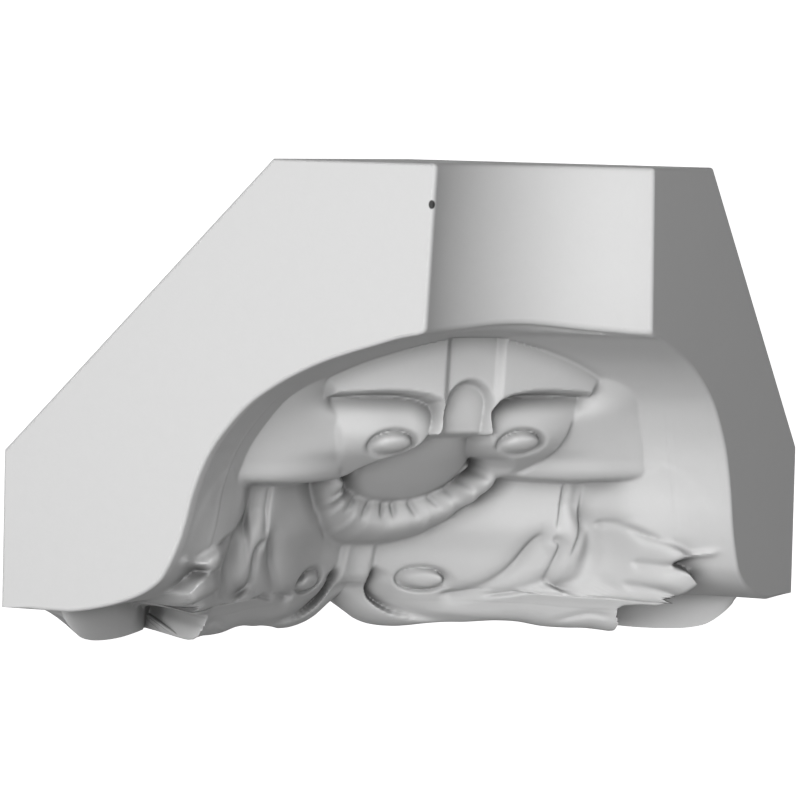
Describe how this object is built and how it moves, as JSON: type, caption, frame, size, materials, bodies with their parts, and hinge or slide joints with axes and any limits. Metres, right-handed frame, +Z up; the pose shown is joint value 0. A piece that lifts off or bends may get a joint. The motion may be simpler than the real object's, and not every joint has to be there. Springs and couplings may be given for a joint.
{
  "type": "crown moulding inside corner block",
  "caption": "Inside corner block for a crown moulding: plain fascia and end faces, and a deep cove carved with scrolls, leaves and a fluted collar around a boss.",
  "frame": {"origin": "on the ceiling face, where the centre lines of its two arms cross, 123.5 mm from each wall", "axes": "+Z up to the ceiling; the walls are on the -X and -Y sides, and the carved front looks to +X and +Y"},
  "size_m": [0.205, 0.205, 0.1675],
  "materials": {
    "primed": "matt white primer over moulded polyurethane foam"
  },
  "bodies": {
    "root": {"inside_corner_block": "primed"}
  },
  "joints": []
}
